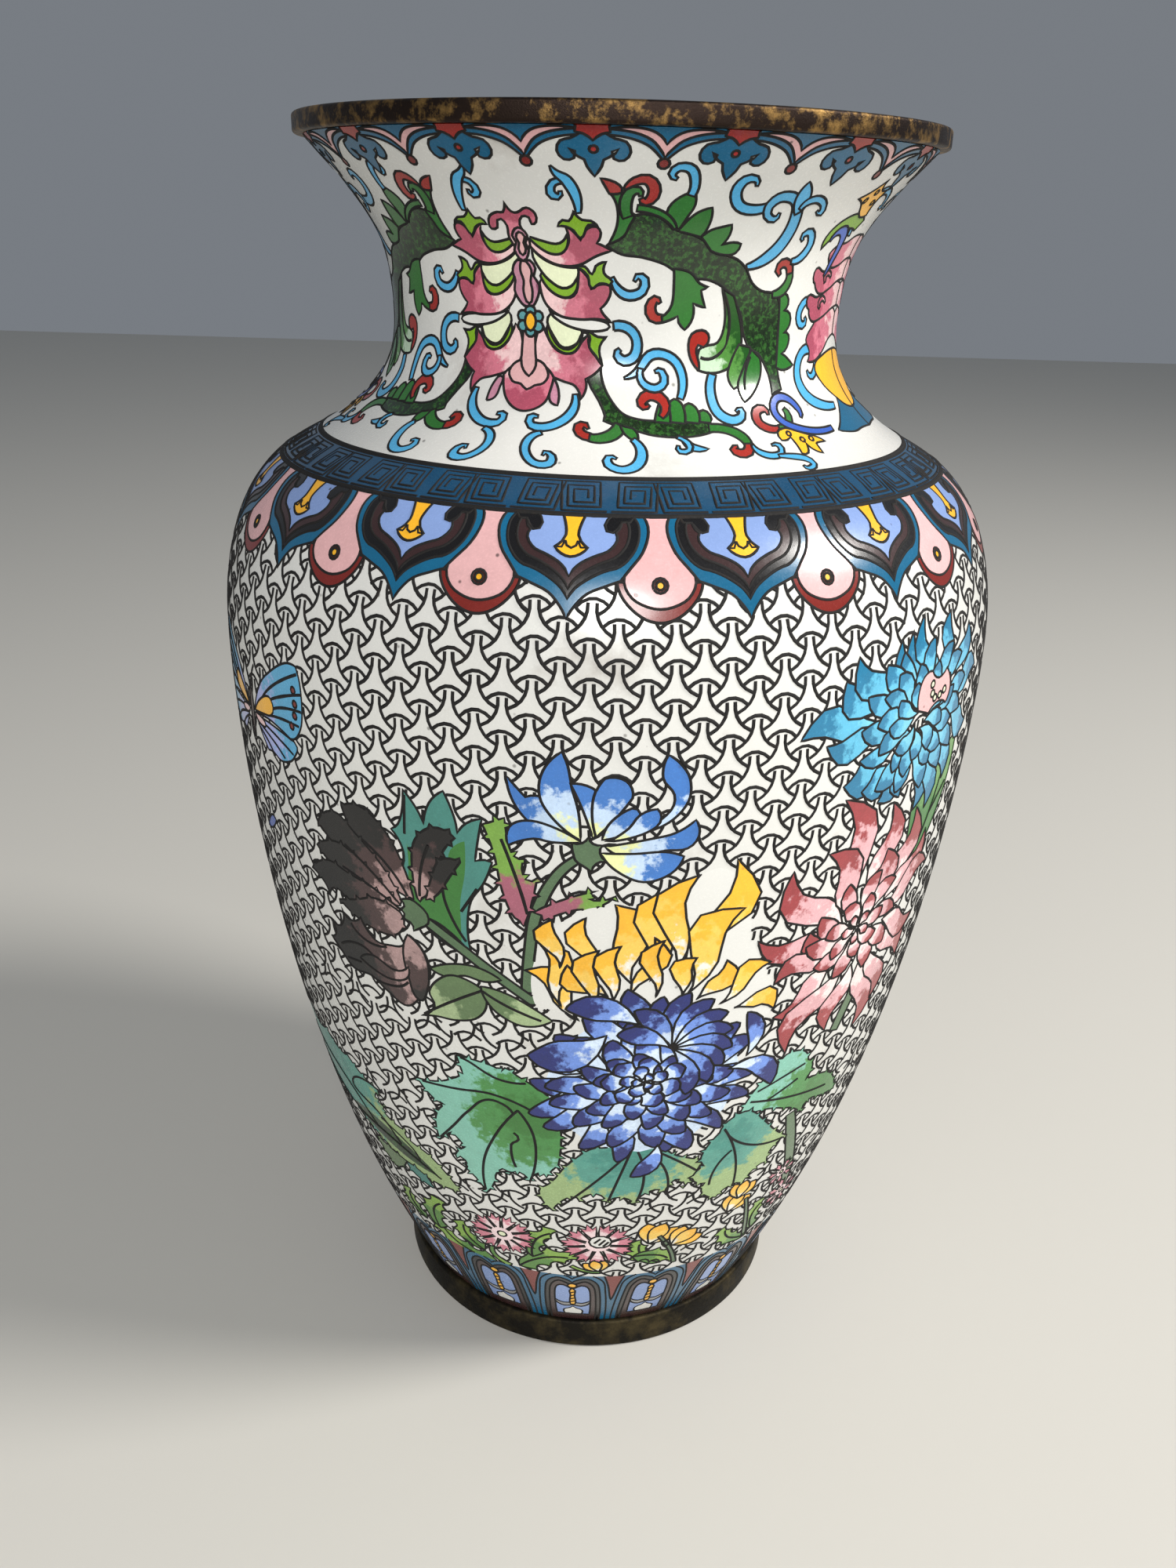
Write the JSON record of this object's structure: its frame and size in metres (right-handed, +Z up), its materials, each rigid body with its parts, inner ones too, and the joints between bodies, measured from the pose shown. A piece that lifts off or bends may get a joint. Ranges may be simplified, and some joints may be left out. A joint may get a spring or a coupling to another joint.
{
  "type": "cloisonne vase",
  "caption": "Tall shouldered vase with a flared neck, ring foot and open hollow inside, for holding flowers or for display.",
  "frame": {"origin": "centre of the foot ring's underside, where the vase stands", "axes": "+Z up along the axis of the vase, -Y towards the side that shows the blue and yellow chrysanthemums, +X to that side's right"},
  "size_m": [0.1236, 0.1236, 0.2031],
  "materials": {
    "aged_brass": "dark oxidised, with worn golden patches on the edges",
    "copper": "dull, hammered",
    "cloison_wire": "dark oxidised wire ground level with the enamel",
    "white_enamel": "glossy off-white glass enamel with fine pits",
    "teal_enamel": "glossy teal glass enamel",
    "blue_enamel": "glossy dark blue glass enamel",
    "turquoise_enamel": "orange-peeled turquoise glass enamel"
  },
  "bodies": {
    "root": {"foot_ring": "aged_brass", "rim_ring": "aged_brass", "copper_lower_body": "copper", "copper_shoulder": "copper", "copper_neck": "copper", "base_disc": "copper", "foot_band_enamel": "teal_enamel", "body_enamel": "white_enamel", "lappet_band_enamel": "teal_enamel", "fret_band_enamel": "blue_enamel", "neck_enamel": "white_enamel", "lip_band_enamel": "teal_enamel", "interior_enamel": "turquoise_enamel", "base_enamel": "turquoise_enamel", "foot_band_upper_wire": "cloison_wire", "body_upper_wire": "cloison_wire", "lappet_band_upper_wire": "cloison_wire", "fret_band_upper_wire": "cloison_wire", "neck_upper_wire": "cloison_wire"}
  },
  "joints": []
}
